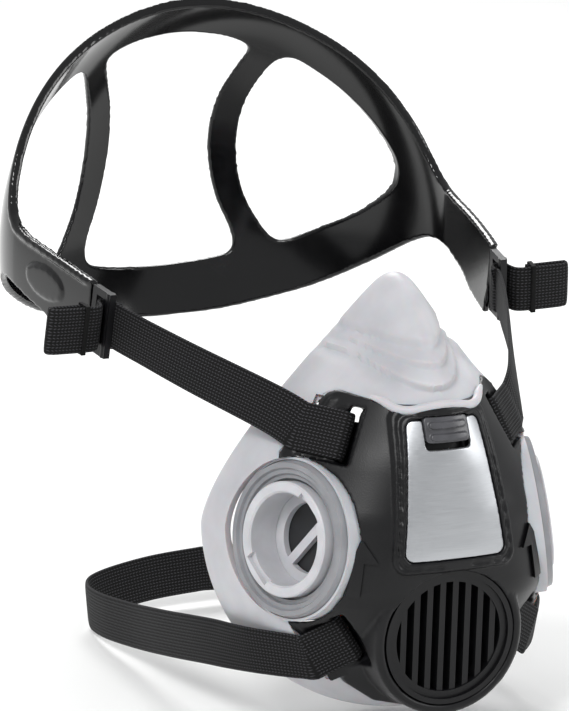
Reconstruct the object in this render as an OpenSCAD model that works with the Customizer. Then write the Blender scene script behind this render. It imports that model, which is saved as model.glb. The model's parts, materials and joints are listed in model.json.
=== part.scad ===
// Half-mask respirator with two bayonet filter connectors, head cradle and neck strap.
// Origin: centre of the face opening. +X wearer's left, +Y rearwards to the head, +Z up. Millimetres.

/* [Mask] */
// Half-width of the facepiece at its sealing rim
face_half_w = 48.5; // [44:0.5:54]
// Height of the nose hood above the origin
nose_top = 61.4; // [55:0.2:70]
// Depth of the chin below the origin
chin_drop = 62; // [55:0.5:70]
// Wall of the soft facepiece
face_wall = 2.2; // [1.6:0.1:3]
// Furthest forward line of the front housing
housing_front = -70; // [-78:0.5:-66]
// Wall of the front housing, measured front to back
housing_wall = 3; // [2.2:0.1:4]

/* [Cover plate] */
// Half-width of the plate at its top
plate_top_w = 10.9; // [9:0.1:13]
// Half-width of the plate at its bottom
plate_bot_w = 15.6; // [13:0.1:18]
// Height of the plate's top edge
plate_top_z = 27.3; // [24:0.1:29]
// Height of the plate's bottom edge
plate_bot_z = -11; // [-13:0.1:-8]
// Thickness of the plate
plate_t = 1.4; // [1:0.1:2]
// Half-width of the latch slot
slot_w = 7; // [5:0.1:8]
// Gap round the plate and latch
plate_gap = 0.25; // [0.15:0.05:0.5]
// Travel of the latch button
latch_travel = 1.8; // [1:0.1:2.5]

/* [Connectors] */
// Middle of the left flange face
conn_x = 41.3; // [38:0.1:46]
conn_y = -43.1; // [-48:0.1:-38]
conn_z = -7.4; // [-12:0.1:-2]
// Turn of the connector axis from straight ahead
conn_az = 70; // [60:1:80]
// Tilt of the connector axis upwards
conn_tilt = 8; // [0:1:15]
// Radius of the grey collar
collar_r = 22.3; // [20:0.1:24]
// Radius of the bayonet flange
flange_r = 16.4; // [15:0.1:18]
// Radius of the filter bore
bore_r = 13.2; // [11:0.1:13.4]

/* [Exhalation] */
// Middle of the grille face
grille_y = -66; // [-70:0.5:-62]
grille_z = -34.9; // [-38:0.1:-32]
// Radius of the grille
grille_r = 19.8; // [17:0.1:21]
// Tilt of the grille downwards
grille_tilt = 4; // [0:1:10]
// Number of slats
slats = 8; // [6:1:10]

/* [Straps] */
// Width of the elastic webbing
strap_w = 14; // [12:0.5:16]
// Thickness of the elastic webbing
strap_t = 1.3; // [1:0.1:1.6]
// Length of the doubled free end beside each buckle
tail_len = 15; // [12:1:22]
// Height of the neck strap at the back of the neck
neck_z = -56.5; // [-64:0.5:-50]
// How far back the neck strap reaches
neck_y = 108; // [95:1:125]

/* [Head cradle] */
// Half-width of the head the cradle fits
head_w = 71.7; // [64:0.1:78]
// Half-length of the head behind its widest line
head_l = 64.5; // [58:0.1:72]
// Half-height of the head above its widest line
head_h = 81; // [74:0.1:88]
// Widest line: distance back and height
head_y = 82; // [76:1:88]
head_z = 50.4; // [46:0.2:56]
// Thickness of the cradle
cradle_t = 2; // [1.5:0.1:3]
// Where the arms end at the buckles
arm_front = 38.4; // [37:0.1:42]

/* [Hidden] */
$fn = 44;
eps = 0.01;
gap = 0.3;

col_face = [0.78, 0.8, 0.8];
col_black = [0.06, 0.06, 0.07];
col_silver = [0.75, 0.76, 0.78];
col_grey = [0.5, 0.51, 0.52];
col_light = [0.72, 0.73, 0.73];
col_web = [0.04, 0.04, 0.045];

// ---- helpers ----
function lerp(a, b, t) = a + (b - a) * t;
function unit(v) = v / norm(v);
// value of a table [[key, v1, v2..]..] at key x, keys rising
function row_at(T, x, i = 0) = i >= len(T) - 2 || x <= T[i + 1][0]
  ? lerp(T[i], T[i + 1], (x - T[i][0]) / (T[i + 1][0] - T[i][0])) : row_at(T, x, i + 1);
function cr(a, b, c, d, t) = 0.5 * ((2 * b) + (c - a) * t + (2 * a - 5 * b + 4 * c - d) * t * t
  + (3 * b - a - 3 * c + d) * t * t * t);
// smooth open curve through points
function smooth(P, n) = [for (i = [0:len(P) - 2]) for (k = [0:n - 1])
  cr(P[max(i - 1, 0)], P[i], P[i + 1], P[min(i + 2, len(P) - 1)], k / n), P[len(P) - 1]];
// smooth closed curve through points
function ring_curve(P, n) = let (m = len(P)) [for (i = [0:m - 1]) for (k = [0:n - 1])
  cr(P[(i + m - 1) % m], P[i], P[(i + 1) % m], P[(i + 2) % m], k / n)];
function flip(P) = [for (i = [len(P) - 1:-1:0]) [-P[i][0], P[i][1]]];
// polygon with rounded corners of radius r
function rpoly(P, r, n = 6) = let (m = len(P)) [for (i = [0:m - 1]) let (
    a = unit(P[(i + m - 1) % m] - P[i]), b = unit(P[(i + 1) % m] - P[i]),
    h = acos(a * b) / 2, c = P[i] + unit(a + b) * r / sin(h),
    s = P[i] + a * r / tan(h) - c, e = P[i] + b * r / tan(h) - c)
  for (k = [0:n]) c + r * unit(lerp(s, e, k / n))];
// grid of points [row][col] closed between two skins: outer first
module shell_of(A, B, wrap = false) {
  nr = len(A); nc = len(A[0]); N = nr * nc;
  cs = wrap ? nc : nc - 1;
  polyhedron(points = [for (r = A) each r, for (r = B) each r],
    faces = [for (i = [0:nr - 2]) for (j = [0:cs - 1]) let (k = (j + 1) % nc)
        each [[i * nc + j, i * nc + k, (i + 1) * nc + k], [i * nc + j, (i + 1) * nc + k, (i
          + 1) * nc + j],
          [N + i * nc + k, N + i * nc + j, N + (i + 1) * nc + j],
          [N + i * nc + k, N + (i + 1) * nc + j, N + (i + 1) * nc + k]],
      for (j = [0:cs - 1]) let (k = (j + 1) % nc, t = (nr - 1) * nc)
        each [[k, j, N + j], [k, N + j, N + k], [t + j, t + k, N + t + k], [t + j, N + t + k, N
          + t + j]],
      if (!wrap) for (i = [0:nr - 2]) let (u = i * nc, w = (i + 1) * nc, e = nc - 1)
        each [[u, w, N + w], [u, N + w, N + u], [w + e, u + e, N + u + e], [w + e, N + u + e, N
          + w + e]]]);
}
// flat band of width w and thickness t along points P, width directions W
module band(P, W, w, t) {
  n = len(P);
  T = [for (i = [0:n - 1]) unit(P[min(i + 1, n - 1)] - P[max(i - 1, 0)])];
  V = [for (i = [0:n - 1]) unit(W[i] - T[i] * (W[i] * T[i]))];
  M = [for (i = [0:n - 1]) cross(V[i], T[i])];
  Q = [for (i = [0:n - 1]) each [P[i] + V[i] * w / 2 + M[i] * t / 2, P[i] - V[i] * w / 2 + M[i] * t / 2,
    P[i] - V[i] * w / 2 - M[i] * t / 2, P[i] + V[i] * w / 2 - M[i] * t / 2]];
  e = 4 * (n - 1);
  polyhedron(points = Q, faces = [[2, 1, 0], [3, 2, 0], [e, e + 1, e + 2], [e, e + 2, e + 3],
    for (i = [0:n - 2]) for (k = [0:3]) let (a = 4 * i + k, b = 4 * i + (k + 1) % 4)
      each [[a, b, a + 4], [b, b + 4, a + 4]]]);
}
module left_right(side) { if (side > 0) children(); else mirror([1, 0, 0]) children(); }
module prism(P, y0, y1) { translate([0, y1, 0]) rotate([90, 0, 0]) linear_extrude(y1 - y0) polygon(P); }
module side_prism(P, x0, x1) { translate([x0, 0, 0]) rotate([90, 0,
  90]) linear_extrude(x1 - x0) polygon(P); }

// ---- facepiece ----
// rings from the lip inwards to the front: height key, y at top, side, bottom, half-width, top, bottom
fz = nose_top / 61.4; cz = chin_drop / 62; fw = face_half_w / 48.5;
face_rings = [[0, -17, 3, -8, 37.5 * fw, 48 * fz, 48 * cz], [1, -21, -1, -11, 44 * fw, 54 * fz,
  55.5 * cz],
  [2, -25, -6, -17, 47.8 * fw, 59 * fz, 60.5 * cz], [3, -28, -12, -24, 48.5 * fw, 61 * fz, 62 * cz],
  [4, -32, -20, -33, 47.6 * fw, 60.6 * fz, 61 * cz], [5, -37, -31, -42, 46 * fw, 58 * fz, 58 * cz],
  [6, -45, -41, -49, 42.5 * fw, 51 * fz, 52 * cz], [7, -53, -49, -54, 37.5 * fw, 42 * fz, 44 * cz],
  [8, -57.4, -54.5, -56.5, 28 * fw, 31 * fz, 32 * cz], [9, -59, -57.5, -58, 14 * fw, 16 * fz, 16 * cz],
  [10, -59, -58, -58, 1 * fw, 2 * fz, 1 * cz]];
function face_pt(t, a) = let (
    R0 = [for (c = [1:6]) cr(face_rings[max(floor(t) - 1, 0)][c], face_rings[floor(t)][c],
      face_rings[min(floor(t) + 1, 10)][c], face_rings[min(floor(t) + 2, 10)][c], t - floor(t))],
    zc = -12 * fz * (1 - t / 16), c = cos(a), s = sin(a), up = max(s, 0), dn = max(-s, 0),
    k = 1 - 0.71 * pow(up, 1.4) + 0.08 * dn * dn,
    y = R0[1] + (R0[0] - R0[1]) * pow(up, 1.2) + (R0[2] - R0[1]) * pow(dn, 1.6))
  [R0[3] * c * k, y, zc + (s > 0 ? R0[4] - zc : R0[5] + zc) * s];
function face_nrm(t, a) = let (d = 0.05, ta = max(t - d, 0), tb = min(t + d, 9.99),
    u = face_pt(tb, a) - face_pt(ta, a), v = face_pt(t, a + 1) - face_pt(t, a - 1))
  unit(cross(u, v));
nA = 40; nT = 16;
function face_grid(o) = [for (i = [0:nT]) let (t = i * 9.95 / nT) [for (j = [0:nA - 1]) let (a = j * 360 / nA)
  face_pt(t, a) + face_nrm(t, a) * o]];
module at_conn() {
  translate([conn_x, conn_y, conn_z]) rotate([0, 0, conn_az]) rotate([90 - conn_tilt, 0, 0]) children();
}
module at_grille() { translate([0, grille_y, grille_z]) rotate([90 + grille_tilt, 0, 0]) children(); }
module ring(r1, r2, z0, z1) {
  translate([0, 0, z0]) difference() {
    cylinder(r = r2, h = z1 - z0);
    translate([0, 0, -1]) cylinder(r = r1, h = z1 - z0 + 2);
  }
}
seat_z = -8.4;
pocket_r = collar_r + 0.6;
sleeve_r = flange_r + 1.1;
// radius k mm outside the sleeve, in step with the room between sleeve and rim
function out_r(k) = sleeve_r + k * (collar_r - sleeve_r) / 4.8;
bell_r = 24.6;
module facepiece() {
  color(col_face) resize([0, 0, 0]) difference() {
    shell_of(face_grid(0), face_grid(-face_wall), true);
    for (s = [1, -1]) left_right(s) at_conn() translate([0, 0, -30]) cylinder(r = pocket_r + 0.3,
      h = 60);
    at_grille() translate([0, 0, -30]) cylinder(r = bell_r + 0.4, h = 50);
    face_trim();
  }
}
// rigid carriers held in the openings of the soft facepiece
module connector_carrier() {
  color(col_grey) at_conn() ring(out_r(0.4), pocket_r, -10.6, seat_z);
}
module exhalation_carrier() {
  color(col_grey) at_grille() rotate_extrude($fn = 96) polygon([[17.7, -19.6], [bell_r - 1, -19.6],
    [bell_r - 1, -17.4], [17.7, -17.4]]);
}

// ---- front housing: front surface y(x, z) ----
hz = housing_front + 70;
house_rows = [[-62, -52, 20, -46, 2], [-52, -60, 25, -47, 2], [-44, -64, 28.5, -47.5, 2], [-37, -66,
  34, -46, 2],
  [-32, -66.8, 39, -44.5, 2.2], [-22, -68.5, 40, -47, 4], [-10, -70, 40, -50, 2.6], [0, -68.6, 40,
    -48, 2.6],
  [16, -65.6, 37.6, -36.5, 2.2], [23, -63.8, 32, -37.5, 2], [31.6, -60.3, 25, -39, 2], [40, -56, 18,
    -41, 2]];
function house_y(x, z) = let (R = row_at(house_rows, z), u = abs(x / R[2]))
  R[1] + hz * (1 - min(1, u)) + (R[3] - R[1]) * pow(u, R[4]);
nX = 22; nZ = 15;
function house_grid(o) = [for (i = [0:nZ]) let (z = -60
  + i * 99 / nZ) [for (j = [0:nX]) let (x = -44 + j * 88 / nX)
  [x, house_y(x, z) + o, z]]];
module hfield(o1, o2) { shell_of(house_grid(o2), house_grid(o1)); }
half_outline = [[0, 31], [11, 31.2], [17, 32], [22.6, 33.4], [25.4, 31.6], [38, 15.8], [41, 8],
  [42, -24], [39.6, -32], [28.6, -44.4], [24, -50], [17, -55], [0, -58]];
house_outline = concat(half_outline, [for (i = [len(half_outline) - 2:-1:1]) [-half_outline[i][0],
  half_outline[i][1]]]);
function trap(g) = [[plate_top_w + g, plate_top_z + g], [plate_bot_w + g * 1.1, plate_bot_z - g],
  [-plate_bot_w - g * 1.1, plate_bot_z - g], [-plate_top_w - g, plate_top_z + g]];
module trap_prism(g, r) { prism(rpoly(trap(g), r), -90, -40); }
// strap lugs: middle of the bar, run direction, bar direction
up_s = unit([0.634, 0.74, 0.12]);
up_b = unit([-0.56, -0.08, 0.82]);
up_o = [24.4, -45.6, 21.3] + up_b * (strap_w - 14) / 2;
lo_b = unit([0.62, 0.22, 0.72]);
lo_o = [25.8, -50.6, -36] - lo_b * (strap_w - 14) / 2;
lo_s = unit([0.7, 0.5, -0.46]);
function frame_of(o, s, b) = let (bb = unit(b - s * (s * b)), n = cross(s, bb))
  [[s[0], n[0], bb[0], o[0]], [s[1], n[1], bb[1], o[1]], [s[2], n[2], bb[2], o[2]], [0, 0, 0, 1]];
UP = frame_of(up_o, up_s, up_b);
LO = frame_of(lo_o, lo_s, lo_b);
lug_t = 2.2;
rear_u = 9.8;
// plate of a lug: x along the strap, y outwards, z along the bar
module lug_plate(cut) {
  h = strap_w / 2 + 3;
  translate([0, lug_t / 2, 0]) rotate([90, 0, 0]) linear_extrude(lug_t)
    polygon([[-8, -h], [rear_u + cut, -h], [rear_u - cut * 1.4, h], [-8, h]]);
}
module lug_room() {
  translate([-5.6, -9, -strap_w / 2 - 0.6]) cube([5, 18, strap_w + 2.6]);
  translate([-5.3, lug_t / 2, -strap_w / 2 - 1.3]) cube([30, 12, strap_w + 2.3]);
  translate([-5.1, -lug_t / 2 - 6, -strap_w / 2 - 0.85]) cube([30, 6, strap_w + 1.7]);
}
module arrow(g = 0) {
  prism([[26, -5 + g], [30.5 + g, -11.5], [28.6, -11.2], [30.6, -20.5], [27.6, -21], [26.2, -11],
    [22.6 - g, -11.2]], -90, -40);
}
module front_housing() {
  color(col_black) resize([0, 0, 0]) difference() {
    union() {
      intersection() { hfield(0, housing_wall); prism(house_outline, -90, -30); }
      // floor behind the latch
      intersection() { hfield(2.5, 4.6); prism(rpoly([[-9.1, 12.93], [9.1, 12.93], [9.1, 29.7],
        [-9.1, 29.7]], 1.5), -90, -30); }
      intersection() {
        hfield(-1.3, 1);
        difference() { trap_prism(3.4, 4); trap_prism(plate_gap, 2.6); }
      }
      for (s = [1, -1]) left_right(s) {
        multmatrix(UP) lug_plate(2.6);
        multmatrix(LO) lug_plate(0);
        intersection() { hfield(-0.7, 1); arrow(); }
      }
      at_grille() {
        translate([0, 0, -17.1]) cylinder(r1 = bell_r, r2 = 22.9, h = 16.7);
        ring(20.6, 21.9, -1, 0.3);
      }
    }
    // recess of the cover plate and the latch
    intersection() { hfield(-4, plate_t + 0.05 - 0.6); trap_prism(plate_gap, 2.6); }
    intersection() {
      hfield(-4, 3.4);
      prism([[-slot_w, 14.83], [slot_w, 14.83], [slot_w, plate_top_z + 1.2], [-slot_w, plate_top_z
        + 1.2]], -90, -40);
    }
    for (s = [1, -1]) left_right(s) {
      at_conn() {
        translate([0, 0, -22]) cylinder(r = pocket_r + 0.5, h = 19.2);
        translate([0, 0, -3]) cylinder(r = pocket_r, h = 22);
      }
      multmatrix(UP) lug_room();
      multmatrix(LO) lug_room();
    }
    at_grille() {
      translate([0, 0, -9]) cylinder(r = grille_r + 0.2, h = 20);
      translate([0, 0, -30]) cylinder(r = 17.7, h = 24);
    }
  }
}
// what the facepiece must leave free
module face_trim() {
  intersection() { hfield(-8, housing_wall + gap); prism(house_outline, -90, -30); }
  intersection() { hfield(-8, 5); prism([[-9.45, 12.25], [9.45, 12.25], [9.45, 30.7], [-9.45, 30.7]],
    -90, -30); }
  for (s = [1, -1]) left_right(s) {
    multmatrix(UP) translate([-8.3, -3.6, -strap_w / 2 - 3.3]) cube([20, 20, strap_w + 6.6]);
    multmatrix(LO) translate([-8.3, -3.6, -strap_w / 2 - 3.3]) cube([20, 20, strap_w + 6.6]);
  }
}
module cover_plate() {
  color(col_silver) resize([0, 0, 0]) difference() {
    intersection() { hfield(-0.6, plate_t - 0.6); trap_prism(0, 2.4); }
    prism(rpoly([[-slot_w, 19.3], [slot_w, 19.3], [slot_w, 40], [-slot_w, 40]], 1.2), -90, -40);
  }
}
latch_z = 24.6;
module latch_button() {
  color(col_grey) resize([0, 0, 0]) union() {
    intersection() {
      hfield(-1.2, 2.6);
      prism(rpoly([[-slot_w + 0.35, latch_z - 3.2], [slot_w - 0.35, latch_z - 3.2],
        [slot_w - 0.35, latch_z + 3.6], [-slot_w + 0.35, latch_z + 3.6]], 1), -90, -40);
    }
    for (z = [latch_z - 1.6, latch_z + 1.6]) intersection() {
      hfield(-2.1, 0);
      prism(rpoly([[-5.6, z - 0.8], [5.6, z - 0.8], [5.6, z + 0.8], [-5.6, z + 0.8]], 0.7), -90, -40);
    }
  }
}
module latch_spring() {
  r = 0.7; wire = 0.22; turns = 4; n = 12; m = 8; z0 = 15.9; z1 = latch_z - 3.2 - latch_travel - gap - wire;
  T = [for (i = [0:turns * n]) let (a = 360 * i / n) [r * cos(a), r * sin(a), z0
    + (z1 - z0) * i / (turns * n)]];
  color(col_silver) translate([0, house_y(0, 18) + 2.2, 0]) polyhedron(
    points = [for (i = [0:turns * n]) let (u = unit([T[i][0], T[i][1], 0])) for (k = [0:m - 1])
      T[i] + wire * (u * cos(360 * k / m) + [0, 0, 1] * sin(360 * k / m))],
    faces = [[for (k = [m - 1:-1:0]) k], [for (k = [0:m - 1]) turns * n * m + k],
      for (i = [0:turns * n - 1]) for (k = [0:m - 1]) let (a = i * m + k, b = i * m + (k + 1) % m)
        each [[a, b, a + m], [b, b + m, a + m]]]);
}

// ---- exhalation ----
slat_pitch = 2 * (grille_r - 4) / slats;
module exhalation_grille() {
  color(col_black) at_grille() {
    ring(grille_r - 1.5, grille_r, -8.6, 0);
    ring(grille_r - 3.6, grille_r - 1.4, -6, -1);
    intersection() {
      translate([0, 0, -6]) cylinder(r = grille_r - 2.5, h = 4.6);
      for (i = [0:slats - 1]) translate([(i - (slats - 1) / 2) * slat_pitch - 0.9, -grille_r, -6])
        cube([1.8, 2 * grille_r, 4.6]);
    }
  }
}
module exhalation_valve_seat() {
  color(col_light) at_grille() {
    ring(13.6, 17.3, -14.5, -11.5);
    ring(1.6, 4.2, -14.5, -12.9);
    for (a = [0:60:300]) rotate(a) translate([3.5, -0.7, -14.3]) cube([10.6, 1.4, 1.1]);
  }
}
module exhalation_valve_disc() {
  color([0.55, 0.56, 0.57]) at_grille() {
    translate([0, 0, -11.3]) cylinder(r = 15.2, h = 0.9);
    translate([0, 0, -16.5]) cylinder(r = 1.45, h = 5.4);
  }
}

// ---- connectors ----
module connector_collar() {
  color(col_grey) at_conn() rotate_extrude($fn = 96) polygon([[flange_r - 1.5, -15.5], [sleeve_r,
    -15.5], [sleeve_r, -8.1],
    [out_r(4.6), -8.1], [collar_r, -3.4], [out_r(4.1), -1.4], [out_r(2.7), -1.4], [out_r(2.2), -2.2],
      [out_r(1.1), -2.2],
    [out_r(0.7), -3], [flange_r + 0.8, -3], [flange_r + 0.8, -5.2], [flange_r - 1.5, -5.2]]);
}
// turn of the bar across each inlet, and of the two notches in line with it
guard_turn = -49;
module bayonet_ring() {
  color(col_light) at_conn() difference() {
    rotate_extrude($fn = 96) polygon([[bore_r, -10.4], [14.6, -10.4], [14.6, -4.9], [flange_r, -4.9],
      [flange_r, -0.4],
      [flange_r - 0.4, 0], [bore_r + 0.5, 0], [bore_r, -0.5]]);
    for (a = [guard_turn, guard_turn + 180]) rotate(a) translate([10, -5.2, -1.6]) cube([4.3, 10.4, 3]);
  }
}
module inhalation_seat() {
  color(col_light) at_conn() {
    ring(10.2, 14.6, -12.6, -10.6);
    rotate(guard_turn) translate([-10.6, -1.3, -12.6]) cube([21.2, 2.6, 2]);
  }
}
module inhalation_disc() {
  color([0.12, 0.12, 0.13]) at_conn() {
    translate([0, 0, -13.7]) cylinder(r = 12.2, h = 0.8);
  }
}
module sealing_washer() { color([0.15, 0.15, 0.16]) at_conn() ring(out_r(0.9), out_r(4.1), -12.2,
  -10.7); }
module retaining_ring() {
  color(col_grey) at_conn() difference() {
    ring(sleeve_r + 0.1, out_r(3.9), -15.4, -12.3);
    for (a = [0:60:300]) rotate(a) translate([out_r(2.7), -2, -17]) cube([4, 4, 6]);
  }
}

// ---- straps ----
buck_o = [head_w - 7.7, 29.6, 42];
buck_s = unit([8, 60, 10]);
buck_b = unit([-0.067, -0.196, 0.978]);
BK = frame_of(buck_o, buck_s, buck_b);
function pt(M, u, v, w = 0) = [M[0][3], M[1][3], M[2][3]] + u * [M[0][0], M[1][0], M[2][0]]
  + v * [M[0][1], M[1][1], M[2][1]] + w * [M[0][2], M[1][2], M[2][2]];
function wdir(M) = [M[0][2], M[1][2], M[2][2]];
lay = lug_t / 2 + gap + strap_t / 2;
// loop round a lug bar: inner end, round the bar's front edge, outer side
function lug_loop(M, far) = concat([pt(M, 6.4, -lay), pt(M, 4, -lay), pt(M, 0.4, -lay)],
  [for (k = [1:7]) let (a = 180 + 180 * k / 8) pt(M, 0 + lay * sin(a) * 0.95, lay * cos(a))],
  [pt(M, 0.4, lay), pt(M, 4, lay), pt(M, far, lay + 0.2)]);
b_in = 2.35;
up_path = concat(lug_loop(UP, 9.6), smooth([pt(UP, 12.5, lay - 0.2), [39 + 16 * (fz - 1),
  -28 - 6 * (fz - 1), 27.5], [51.5 + 6 * (fz - 1), 0, 34.8], pt(BK, -5, -b_in + 0.1),
  pt(BK, -0.5, -b_in)], 5));
up_turn = concat([pt(BK, 1.6, -b_in)], [for (k = [1:7]) let (a = 180 - 180 * k / 8) pt(BK, 1.8
  + b_in * sin(a), b_in * cos(a))],
  [pt(BK, 1, b_in + 0.3), pt(BK, -1.0, 3.6), pt(BK, -1.9, 5.2), pt(BK, -2.1, 8), pt(BK, -1.9, 8
    + tail_len * 0.6),
  pt(BK, -1.5, 4 + tail_len)]);
up_tail = concat([for (k = [1:5]) let (a = 180 * k / 6) pt(BK, -0.5 - 1.0 * cos(a), 4 + tail_len
  + 1.1 * sin(a))],
  [pt(BK, 0.5, 4 + tail_len), pt(BK, 0.3, 7.4)]);
up_all = concat(up_path, up_turn, up_tail);
up_wid = [for (i = [0:len(up_all) - 1]) let (k = min(1, max(0, (i - 12) / 14))) lerp(wdir(UP),
  wdir(BK), k)];
module upper_strap() { color(col_web) band(up_all, up_wid, strap_w, strap_t); }
module strap_hem() {
  color([0.09, 0.09, 0.1]) multmatrix(BK) difference() {
    translate([-3.35, 8.2, -strap_w / 2 - 0.5]) cube([4.9, 1.6, strap_w + 1]);
    translate([-2.85, 8, -strap_w / 2 - 0.15]) cube([3.9, 3, strap_w + 0.3]);
  }
}
nz = neck_z + 56.5; ny = neck_y - 108;
neck_half = concat(lug_loop(LO, 9.6), smooth([pt(LO, 11.5, lay + 0.1), [45, -30, -42.5], [48.8, -8,
  -45], [49.2, 20, -49.8 + nz / 3],
  [47.8, 50 + ny / 3, -55 + nz / 2], [47, 78 + ny / 2, -58.6 + nz], [43.5, 96 + ny, -59.8 + nz], [35,
    103.5 + ny, -59 + nz],
  [18, 107 + ny, -57.3 + nz], [0, neck_y, neck_z]], 4));
neck_wh = [for (i = [0:len(neck_half) - 1]) let (k = min(1, max(0, (i - 11) / 9))) lerp(wdir(LO),
  [0.05, 0.1, 1], k)];
function mir(P) = [for (i = [len(P) - 2:-1:0]) [-P[i][0], P[i][1], P[i][2]]];
module neck_strap() { color(col_web) band(concat(neck_half, mir(neck_half)), concat(neck_wh,
  mir(neck_wh)), strap_w, strap_t); }

// ---- buckle and cradle ----
module buckle() {
  bar = strap_w + 5.6; win = strap_w + 1.2;
  color(col_black) multmatrix(BK) union() {
    difference() {
      translate([-1.4, -1, -bar / 2]) cube([9.8, 2, bar]);
      translate([2.4, -2, -win / 2]) cube([3.7, 4, win]);
    }
    translate([0, 0, -bar / 2]) cylinder(r = 1.3, h = bar);
  }
}
front_edge = smooth([[arm_front - 1.9, 54], [50, 57], [63, 59.5], [76, 62], [84, 65.6], [89, 72],
  [94, 82.5], [99, 93], [105, 104],
  [111, 114], [114, 121], [114.6, 128]], 2);
low_edge = smooth([[145, 16.6], [139.5, 18.6], [134.4, 22], [127.9, 26], [119.2, 32], [107.4, 39.6],
  [99, 44], [91, 46.2],
  [83, 45.4], [74, 42.6], [65, 39.8], [56, 36], [arm_front + 1.9, 32.6]], 2);
cradle_side = concat(front_edge, [[200, 128], [200, 16.6]], low_edge);
lip_edge = concat(front_edge, [for (i = [len(front_edge) - 1:-1:0]) front_edge[i] + [2.6, -1.5]]);
mid_half = [[0, 110.6], [10, 109.6], [19, 107.2], [23.6, 103.6], [21.6, 97], [18.4, 88], [16.9, 77],
  [17.6, 66], [20.4, 54],
  [24.6, 43.5], [24.6, 37.2], [18, 34.9], [8, 33.8], [0, 33.5]];
mid_window = ring_curve(concat(mid_half, [for (i = [len(mid_half) - 2:-1:1]) [-mid_half[i][0],
  mid_half[i][1]]]), 2);
side_window = ring_curve([[36.6, 100.6], [43.4, 96.4], [50, 91], [56.4, 84], [61.6, 76], [65, 67.5],
  [64.6, 59], [58.5, 50.6],
  [50, 45], [42, 41], [37, 41], [32.4, 47.5], [28.2, 57], [25.9, 70], [26.3, 83.5], [29.2, 93.5],
    [32.4, 99.6]], 2);
nAz = 36; nEl = 14; nArm = 4;
head_cols = concat([for (i = [0:nArm - 1]) [1, arm_front - 6 + i * (head_y - arm_front + 6) / nArm]],
  [for (i = [0:nAz]) [0, 180 * i / nAz]], [for (i = [nArm - 1:-1:0]) [-1, arm_front - 6
    + i * (head_y - arm_front + 6) / nArm]]);
function arm_x(y) = let (u = max(0, (head_y - y) / 52)) head_w - 8.2 * pow(u, 1.35);
function head_pt(c, w, o) = c[0] == 0
  ? [(head_w + o) * cos(c[1]) * cos(w), head_y + (head_l + o) * sin(c[1]) * cos(w), head_z
    + (head_h + o) * sin(w)]
  : [c[0] * (arm_x(c[1]) + o) * cos(w), c[1], head_z + (head_h + o) * sin(w)];
function head_grid(o) = [for (i = [0:nEl]) let (w = -30
  + i * 100 / nEl) [for (c = head_cols) head_pt(c, w, o)]];
module head_shell(o1, o2) { shell_of(head_grid(o1), head_grid(o2)); }
module head_cradle() {
  color([0.05, 0.05, 0.055]) resize([0, 0, 0]) difference() {
    union() {
      intersection() { head_shell(-cradle_t / 2, cradle_t / 2); side_prism(cradle_side, -100, 100); }
      intersection() { head_shell(0, cradle_t / 2 + 0.9); side_prism(lip_edge, -100, 100); }
      for (s = [1, -1]) left_right(s) intersection() {
        head_shell(0, cradle_t / 2 + 0.7);
        side_prism([for (a = [0:30:330]) [62 + 10.5 * cos(a) - 1.2 * sin(a), 49.2 + 4.6 * sin(a)
          + 1.6 * cos(a)]], 20, 100);
      }
    }
    prism(mid_window, 84, 200);
    for (s = [1, -1]) left_right(s) prism(side_window, 92, 200);
  }
}

facepiece();
left_right(1) connector_carrier();  // connector_carrier_left
left_right(-1) connector_carrier();  // connector_carrier_right
exhalation_carrier();
front_housing();
cover_plate();
latch_button();
latch_spring();
exhalation_grille();
exhalation_valve_seat();
exhalation_valve_disc();
left_right(1) connector_collar();  // connector_collar_left
left_right(-1) connector_collar();  // connector_collar_right
left_right(1) bayonet_ring();  // bayonet_ring_left
left_right(-1) bayonet_ring();  // bayonet_ring_right
left_right(1) inhalation_seat();  // inhalation_seat_left
left_right(-1) inhalation_seat();  // inhalation_seat_right
left_right(1) inhalation_disc();  // inhalation_disc_left
left_right(-1) inhalation_disc();  // inhalation_disc_right
left_right(1) sealing_washer();  // sealing_washer_left
left_right(-1) sealing_washer();  // sealing_washer_right
left_right(1) retaining_ring();  // retaining_ring_left
left_right(-1) retaining_ring();  // retaining_ring_right
left_right(1) upper_strap();  // upper_strap_left
left_right(-1) upper_strap();  // upper_strap_right
left_right(1) strap_hem();  // strap_hem_left
left_right(-1) strap_hem();  // strap_hem_right
neck_strap();
left_right(1) buckle();  // buckle_left
left_right(-1) buckle();  // buckle_right
head_cradle();
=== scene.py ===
import bpy, json, math
import numpy as np
from mathutils import Vector, Matrix


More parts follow.
